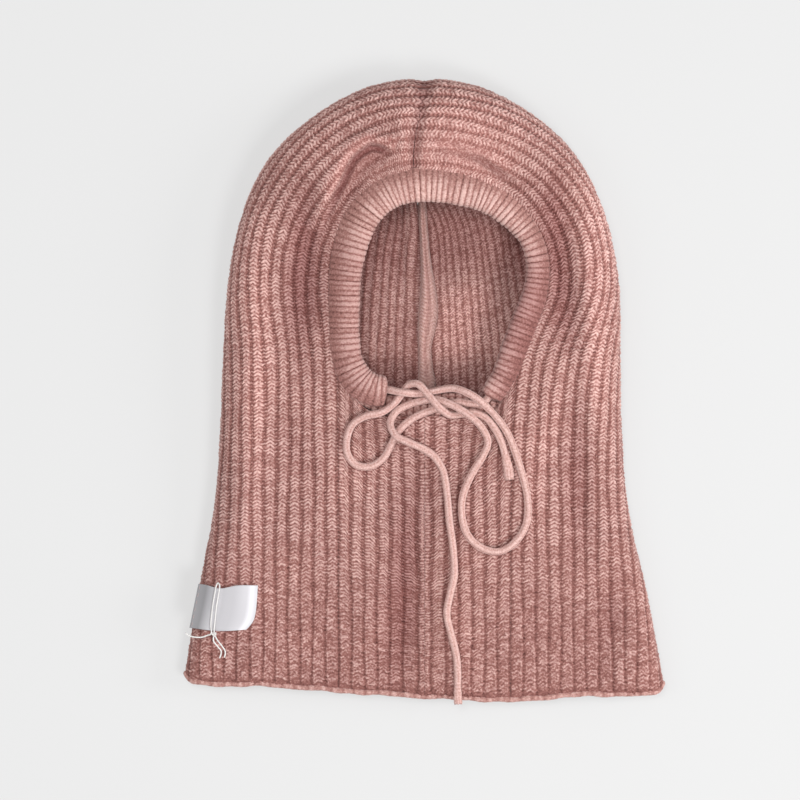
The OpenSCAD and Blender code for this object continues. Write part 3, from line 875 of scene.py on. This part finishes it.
def back_piece(name, fold, inner, x_mid, s0, s1, across, along, nodes):
    """Rows s0 to s1 of one back: its inside shows through the face opening, so that is fine."""
    sign = -x_mid
    s = np.linspace(s0, s1, int((s1 - s0) * along) + 1)
    t = np.linspace(FRONT_RIBS, RIBS, (RIBS - FRONT_RIBS) * across + 1)
    base = lean_crown(strip_base(fold, inner, x_mid, s, t))
    n = grid_normals(base) * -sign
    base = base - n * seam_dip(s)[:, None, None]
    h = knit(t[None, :], s[:, None])
    rise = inner_fold(base)
    h_inside = 0.54 + (h - 0.52) * 0.86
    inside = base - n * (KNIT_T + rise - (h_inside - 0.6) * DEPTH * 0.8)[..., None]
    outside = (base + n * ((h - 1) * DEPTH)[..., None])[::BACK_STEP, ::BACK_STEP]
    # the inside's painted light and shade, and painted light on the raised pleat
    piece = cloth_piece(name, inside, h_inside, outside, h[::BACK_STEP, ::BACK_STEP],
                        BACK_STEP, flip=sign < 0, painted_shade_mm=painted_inside_shade(base) + 0.8 * rise)
    return dress(piece, RIB, "hood", *nodes)


def w_edge(t):
    """1 at the neck's middle edge, which closes onto the other half, falling to 0."""
    return ease(t, NECK_RIBS - 1.5, NECK_RIBS)[None, :]


def neck_piece(name, fold, inner, top_edge, seam_x, node):
    """One neck front, from the hem to the face band's lower run."""
    sign = -seam_x
    every_row = np.linspace(0, ROWS, TABLE_SIZE)
    rows = np.interp(NECK_SHARE, row_table(fold, inner)(every_row), every_row)
    coarse_rows = int(round(rows * FINE_ALONG / COARSE_STEP))
    s = np.linspace(0, rows, COARSE_STEP * coarse_rows + 1)
    t = np.linspace(0, NECK_RIBS, NECK_STEPS + 1)
    base = neck_base(fold, inner, top_edge, seam_x, s, t)
    base[..., 0] -= seam_x * w_edge(t)
    swelling = drape(base)
    base = base + grid_normals(base) * sign * swelling[..., None]
    n = grid_normals(base) * sign
    h = hem_flat(knit(-t[None, :], s[:, None]), s)
    # painted shade in the drape's hollows and painted light on its swells, plus the painted light
    # and shade by place
    tone = swelling + painted_front_shade(base)
    return knit_outside(name, base, n, h, LOFT, tone, sign < 0, [node])


HALVES = [
    ("left", LEFT_FOLD, LEFT_INNER, -1.0, LEFT_NECK_TOP),
    ("right", RIGHT_FOLD, RIGHT_INNER, 1.0, RIGHT_NECK_TOP),
]
for side, fold, inner, x_mid, top_edge in HALVES:
    front_node, back_node = f"{side}_side_front", f"{side}_back"
    front_piece(
        f"{side}_front_lower", fold, inner, x_mid, 0, SPLIT, [front_node])
    front_piece(
        f"{side}_front_upper", fold, inner, x_mid, SPLIT, ROWS, [front_node])
    back_piece(
        f"{side}_back_lower", fold, inner, x_mid, 0, BACK_SPLIT, 6, 2, [back_node])
    back_piece(
        f"{side}_back_upper", fold, inner, x_mid, BACK_SPLIT, ROWS, 8, 3, [back_node])
    neck_piece(
        f"{side}_neck", fold, inner, top_edge, x_mid, f"{side}_neck_front")


# ---------- the face band
# the casing's section: share of its half width towards the face, height
BAND_SECTION = [
    (-1.28, -1.2), (-0.95, 1.2), (-0.5, 3.2), (0.0, 4.3), (0.45, 4.3), (0.82, 3.0),
    (1.0, 0.4), (0.92, -2.4), (0.5, -4.2), (-0.2, -4.4), (-0.85, -4.0), (-1.2, -3.2),
]
USUAL_HALF_W = 8
# a mouth's inner wall: how far out past the band's end, and its radius there
MOUTH_WALL = [(0.6, 4.2), (0.2, 3.1), (-1.5, 2.55), (-6.0, 2.45)]
# painted shade on the mouths' inner walls, as low relief values: darkest deepest in
MOUTH_PAINTED_SHADE = np.array([[0.1], [0.2], [0.4], [0.6]])


def fine_rib(across):
    """Height of a fine rib at a share across it, 0 in its middle and 1 at its sides."""
    return np.sqrt(np.clip(1 - across**2.4, 0, 1))


def casing_section():
    """The casing's section, the same outline in millimetres, and its outward normals."""
    closed = even([(*point, 0) for point in BAND_SECTION], 0.1, closed=True)[:-1]
    section = closed[np.linspace(0, len(closed) - 1, 48).astype(int)][:, :2]
    outline = section * [USUAL_HALF_W, 1]
    slope = np.gradient(outline, axis=0)
    normal = unit(np.column_stack([-slope[:, 1], slope[:, 0]]))
    if (normal[:, 1] * section[:, 1]).sum() < 0:
        normal = -normal
    return section, outline, normal


def band_knit(run, round_run):
    """Height of the band's fine ribs along it and of their stitches round its section."""
    phase = run / 3.3 + 0.3 * np.sin(run / 11) + 0.16 * np.sin(run / 4.7 + 2)
    across = np.abs(saw(phase))
    row = round_run[None, :] / 1.25 + 0.8 * across[:, None] + 0.5 * np.floor(phase)[:, None]
    h = fine_rib(across)[:, None] * (0.72 + 0.28 * ridges(row))
    return h * (0.82 + 0.36 * stitch_noise(phase, np.zeros(len(phase)), 0))[:, None]


def mouth_wall(end, outwards, inward, up, angle):
    """A mouth's inner wall, from the lip into the casing."""
    return np.array([
        end + outwards * depth + inward * (radius * np.cos(angle))[:, None]
        + up * (radius * np.sin(angle))[:, None] for depth, radius in MOUTH_WALL])


def painted_band_shade(x, y):
    """Painted shade on the band's two sides, and a little painted light on its top."""
    right_side = ease(x, 20, 60) * (1 - ease(y, 60, 110))
    left_side = (1 - ease(x, -40, -10)) * (1 - ease(y, 80, 115))
    return 0.6 - 5.0 * right_side - 2.8 * left_side


def band_piece():
    """The face band, with a mouth for the drawstring at each end."""
    line = np.array([(x, y, front_z(y) + BAND_LIFT) for x, y in BAND_LINE], float)
    path = even(line, 0.42)
    run, key = lengths(path), lengths(line)
    half = np.interp(run / run[-1], key / key[-1], BAND_HALF_W)[:, None]
    t = tangents(path)
    inward = unit(np.cross(t, [0.0, 0.0, 1.0]))
    up = np.cross(inward, t)
    section, outline, normal = casing_section()
    h = band_knit(run, lengths(outline))
    # the ribs fade towards the band's outer edge, and its ends round inwards to the mouths
    strong = 0.45 + 0.55 * ease(section[:, 0], -1.1, 0.2)[None, :]
    push = (h - 0.75) * 0.95 * strong
    ends = np.minimum(run, run[-1] - run)
    shrink = (0.72 + 0.28 * rounded(ends, 2.2))[:, None]
    rings = rings_round(path, inward, up, (section[:, 0] * half + push * normal[:, 0]) * shrink,
                        (section[:, 1] + push * normal[:, 1]) * shrink)
    angle = np.arctan2(outline[:, 1], outline[:, 0])
    start = mouth_wall(path[0], -t[0], inward[0], up[0], angle)[::-1]
    finish = mouth_wall(path[-1], t[-1], inward[-1], up[-1], angle)
    rings = np.concatenate([start, rings, finish])
    # painted shade inside the mouths; along the band the relief also darkens its rib grooves
    mouth_shade = MOUTH_PAINTED_SHADE * np.ones(len(section))
    tone = np.concatenate([mouth_shade, h * strong + 0.25 * (1 - strong), mouth_shade[::-1]])
    return ring_mesh("face_band_casing", rings, np.clip(tone, 0, 1),
                     painted_shade_mm=painted_band_shade(rings[..., 0], rings[..., 1]))


dress(band_piece(), BAND, "hood", "face_band")


# the band's lower run: plan place and half width
BOTTOM_LINE = [
    (-40, -6, 1.5), (-24, -8.5, 6.0), (-8, -9, 7.5), (8, -9, 8.0), (24, -9, 7.5),
    (38, -9.5, 5.5), (46, -8, 1.5),
]


def ribbed_roll(name, line, drop, height, pitch):
    """A low rolled strip of knit along a plan line, with ribs across it."""
    path = even(line, 0.4)
    half = path[:, 2].copy()
    path[:, 2] = front_z(path[:, 1]) - drop
    t = tangents(path)
    side = np.cross(t, [0.0, 0.0, 1.0])
    up = np.cross(side, t)
    angle = angles(36)
    across = np.abs(saw(lengths(path) / pitch))[:, None]
    h = fine_rib(across) * (0.75 + 0.25 * np.sin((angle * 4 + across) * np.pi))
    a = half[:, None] * np.sign(np.cos(angle)) * np.abs(np.cos(angle)) ** 0.8
    b = height / 2 * np.sin(angle) + (h - 0.7) * 0.7
    return ring_mesh(name, rings_round(path, side, up, a, b)[:, ::-1], h[:, ::-1])


bottom = ribbed_roll("face_band_bottom", BOTTOM_LINE, 4.2, 5.0, 4.2)
dress(bottom, BAND, "hood", "band_bottom")


# ---------- seams inside the hood
def seam_ridge(name, stations, node):
    """A standing seam allowance through stations (x, y, z, half width, height)."""
    fine = spline(stations, np.linspace(0, 1, 50 * len(stations)))
    run = lengths(fine[:, :3])
    at = np.arange(0, run[-1], 0.6)
    q = np.stack([np.interp(at, run, fine[:, k]) for k in range(5)], 1)
    path, half, tall = q[:, :3], q[:, 3:4], q[:, 4:5]
    side, up = upright_frames(path)
    angle = angles(40)
    above = np.sin(angle) > 0
    strand = ridges(at[:, None] / 2.1 + 0.8 * np.abs(np.cos(angle * 2)))
    groove = bell(np.cos(angle), 0.22) * above
    # the groove's lower relief darkens the yarn colour there: painted shade
    h = 0.85 * strand * (1 - 0.5 * groove)
    a = half * np.cos(angle) * (1 + 0.08 * strand)
    # its lower half stays shallow, so that it doesn't come through the cloth under it
    rise = np.where(above, tall, np.minimum(tall, 2.4))
    b = rise * np.sin(angle) * (1 - 0.35 * groove) + 0.35 * strand * above
    ridge = ring_mesh(name, rings_round(path, side, up, a, b), np.clip(0.3 + 0.6 * h, 0, 1))
    return dress(ridge, SEAM, "hood", node)


seam_ridge("back_seam_ridge", [
    (0, -178, 4.5, 2.4, 2.4), (0, -120, 4.5, 2.6, 2.6), (0, -60, 4.5, 2.6, 2.8),
    (1.2, -20, 4.6, 3.0, 3.0), (1.6, 3, 4.8, 5.0, 3.8), (1.0, 14, 4.9, 4.2, 4.2),
    (0.4, 26, 5.0, 3.8, 4.8), (1.6, 38, 5.2, 5.2, 5.6), (2.4, 48, 5.3, 5.6, 6.4),
    (2.4, 60, 5.4, 4.6, 6.6), (1.2, 76, 5.4, 3.2, 6.2), (0.3, 88, 5.2, 2.6, 5.6),
    (-0.7, 103, 5.2, 2.4, 4.8), (-1.6, 118, 5.0, 2.3, 3.8), (-2.4, 130, 4.6, 2.2, 2.6)],
    "back_seam")
seam_ridge("neck_seam_ridge", [(0, y, front_z(y) - 4, 2.6, 2.2) for y in (-183, -100, -16)],
           "neck_seam")


def crown_line():
    """The crown seam allowance's middle line, inside the cloth: front, round the fold, back."""
    top_y, top_z = LEFT_FOLD[-1][1], FOLD_Z[-1][0]
    front = np.array([130, 138, 148, 158, 166, 172, 176, 178])
    back = np.array([178, 170, 155, 140, 131])
    front_lift = rounded(top_y - front, FRONT_ROLL[-1][0])
    back_lift = rounded(top_y - back, BACK_ROLL)
    y = np.concatenate([front, back])
    z = np.concatenate([top_z + (front_z(front) - top_z) * front_lift - 7.4,
                        top_z * (1 - back_lift) + 5.0])
    return np.column_stack([-crown_lean(y), y, z])


def crown_ridge():
    path = even(crown_line(), 0.6)
    side, up = upright_frames(path)
    angle = angles(28)
    strand = ridges(lengths(path)[:, None] / 2.1) * np.ones_like(angle)
    a = 2.8 * np.cos(angle) * (1 + 0.06 * strand)
    b = 2.2 * np.sin(angle) + 0.3 * strand
    return ring_mesh("crown_seam_ridge", rings_round(path, side, up, a, b),
                     np.clip(strand * 0.6, 0, 1))


dress(crown_ridge(), SEAM, "hood", "crown_seam")


# ---------- the bound-off hem
def hem_half(fold, inner, x_mid, neck_top):
    """The first row's line round one half, from the back's middle to the neck seam."""
    first_row = np.array([0.0])
    strip = strip_base(fold, inner, x_mid, first_row, np.linspace(RIBS, 0, 220))[0]
    across_neck = np.linspace(0, NECK_RIBS, 40)
    neck = neck_base(fold, inner, neck_top, x_mid, first_row, across_neck)[0]
    return np.vstack([strip, neck[1:]])


def hem_piece():
    """The bound-off edge: a plaited roll right round the hem."""
    left_half, right_half = (hem_half(*lines) for _, *lines in HALVES)
    loop = round_corner(np.vstack([left_half, right_half[::-1]]))
    step = 0.5
    path = even(loop[::3], step, closed=True)[:-1]
    # the line runs along Y at the corners, so its direction is taken across Y only
    t = np.roll(path, -1, 0) - np.roll(path, 1, 0)
    t[:, 1] = 0
    along_y = np.tile([0.0, 1.0, 0.0], (len(path), 1))
    out = unit(np.cross(unit(t), along_y))
    highest = np.argmax(path[:, 2])
    out = out * np.sign(out[highest, 2])
    # the loop runs round the outer surface; the edge sits at the middle of the cloth
    run = (np.arange(len(path)) * step)[:, None]
    wave = 0.5 * np.sin(run / 6.1) + 0.35 * np.sin(run / 2.9 + 1.3)
    middle = path - out * 1.9 + along_y * (0.4 + 0.6 * wave)
    angle = angles(16)
    plait = np.abs(np.sin(np.pi * run / 3.6 + 0.6 * angle + 0.7 * np.sin(run / 8)))
    radius = 1.7 + 0.16 * plait + 0.14 * np.sin(run / 2.3)
    rings = rings_round(middle, out, along_y, radius * np.cos(angle),
                        radius * 0.95 * np.sin(angle))
    # the plait's relief; the yarn colour darkens with it as painted shade between its strands
    tone = 0.5 + 0.22 * plait + 0.12 * np.sin(run / 1.15)
    return ring_mesh("hem_bound_edge", rings, tone, closed=True)


dress(hem_piece(), BAND, "hood", "hem_edge")


# ---------- the label
def label_surface(steps_x, steps_y):
    """Middle surface of the label, from its sewn edge to its free one and from foot to head."""
    w = np.linspace(0, 1, steps_x)[None, :]
    v = np.linspace(0, 1, steps_y)[:, None]
    left = LABEL_FOOT - [TAB_W, 0] + (LABEL_HEAD - LABEL_FOOT) * v
    right_edge = spline([(-107.2, -143.6), (-103.4, -139.0), (-101.4, -132), (-100.2, -117)],
                        v[:, 0])
    x = left[:, :1] * (1 - w) + right_edge[:, :1] * w
    y = left[:, 1:] * (1 - w) + right_edge[:, 1:] * w
    y = y - 2.4 * bell((w - 0.37) / 0.2, 1) * v**4 - 1.4 * np.sin(np.pi * w) * (1 - v) ** 3
    z = front_z(y) + LABEL_LIFT + LABEL_T / 2
    z = z + 0.5 * bell((w - 0.72) / 0.2, 1) - 0.35 * bell((w - 0.37) / 0.07, 1)
    z = z + 0.35 * ease(w, 0.8, 1.0) * v
    return np.stack([x, y, z], 2)


def label_piece():
    mid = label_surface(81, 61)
    half = grid_normals(mid) * 0.42
    across = np.linspace(0, 1, mid.shape[1])[None, :] * np.ones((mid.shape[0], 1))
    # across the label, 0 at its sewn edge to 1 at its free edge, picks its painted sheen
    return cloth_piece("satin_label", mid + half, across, mid - half, across, 1, flip=False)


label = label_piece()
dress(label, SATIN, None, "label_flap", "label_tab")
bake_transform(label)


def label_stitch(middle, along):
    """One short stitch lying along the label's sewn edge, its ends drawn down into the cloth."""
    u = np.linspace(-1, 1, 25)
    path = np.column_stack([middle[0] + 1.25 * u * along[0] - 0.2, middle[1] + 1.25 * u * along[1],
                            middle[2] + 0.04 - 0.45 * u**4])
    _, side, up = tube_frames(path)
    angle = angles(12)
    radius = 0.19 * np.sqrt(np.clip(1.02 - u**8, 0, 1))[:, None]
    rings = rings_round(path, side, up, radius * np.cos(angle), radius * np.sin(angle))
    # the stitches are drawn darker: low relief, and -4 on the painted light and shade scale
    tone = np.full(rings.shape[:2], 0.2)
    return ring_mesh("label_stitch", rings[:, ::-1], tone, painted_shade_mm=-4.0)


def stitches_piece():
    """The six stitches that hold the label's sewn edge, as one mesh."""
    count, run = 6, LABEL_HEAD - LABEL_FOOT
    meshes = []
    for i in range(count):
        x, y = LABEL_FOOT + run * (i + 0.5) / count - [TAB_W / 2 + 0.2, 0]
        meshes.append(label_stitch((x, y, front_z(y) + LABEL_LIFT + LABEL_T), unit(run)))
    bpy.ops.object.select_all(action="DESELECT")
    for mesh in meshes:
        mesh.select_set(True)
    bpy.context.view_layer.objects.active = meshes[0]
    bpy.ops.object.join()
    meshes[0].name = "label_hand_stitches"
    return meshes[0]


dress(stitches_piece(), THREAD, "hood", "label_stitches")

# ---------- floor and light
floor_mesh = bpy.data.meshes.new("floor")
floor_mesh.from_pydata([(-3, -3, 0), (3, -3, 0), (3, 3, 0), (-3, 3, 0)], [], [(0, 1, 2, 3)])
floor = bpy.data.objects.new("floor", floor_mesh)
scene.collection.objects.link(floor)
floor_material, floor_tree, floor_bsdf = shader("floor")
feed(floor_tree, floor_bsdf, {
    "Base Color": (0.22, 0.22, 0.22, 1),
    "Roughness": 1,
    "Specular IOR Level": 0,
    "Emission Color": (1, 1, 1, 1),
    "Emission Strength": 0.545,
})
floor_mesh.materials.append(floor_material)

world = bpy.data.worlds.new("studio")
scene.world = world
world.use_nodes = True
background = world.node_tree.nodes["Background"]
feed(world.node_tree, background, {"Color": (1, 1, 1, 1), "Strength": 0.32})


def area_light(name, location, size, power, target=(0, 0, 0.02)):
    data = bpy.data.lights.new(name, "AREA")
    data.size = size
    data.energy = power
    light = bpy.data.objects.new(name, data)
    light.location = location
    light.rotation_euler = (Vector(target) - Vector(location)).to_track_quat("-Z", "Y").to_euler()
    scene.collection.objects.link(light)


area_light("key", (0.70, -0.80, 1.45), 0.6, 17)
area_light("side", (1.5, 0.0, 0.7), 0.6, 15)
area_light("fill", (-1.2, -0.1, 1.3), 1.0, 6)
area_light("top", (-0.35, 0.35, 2.3), 0.7, 20)
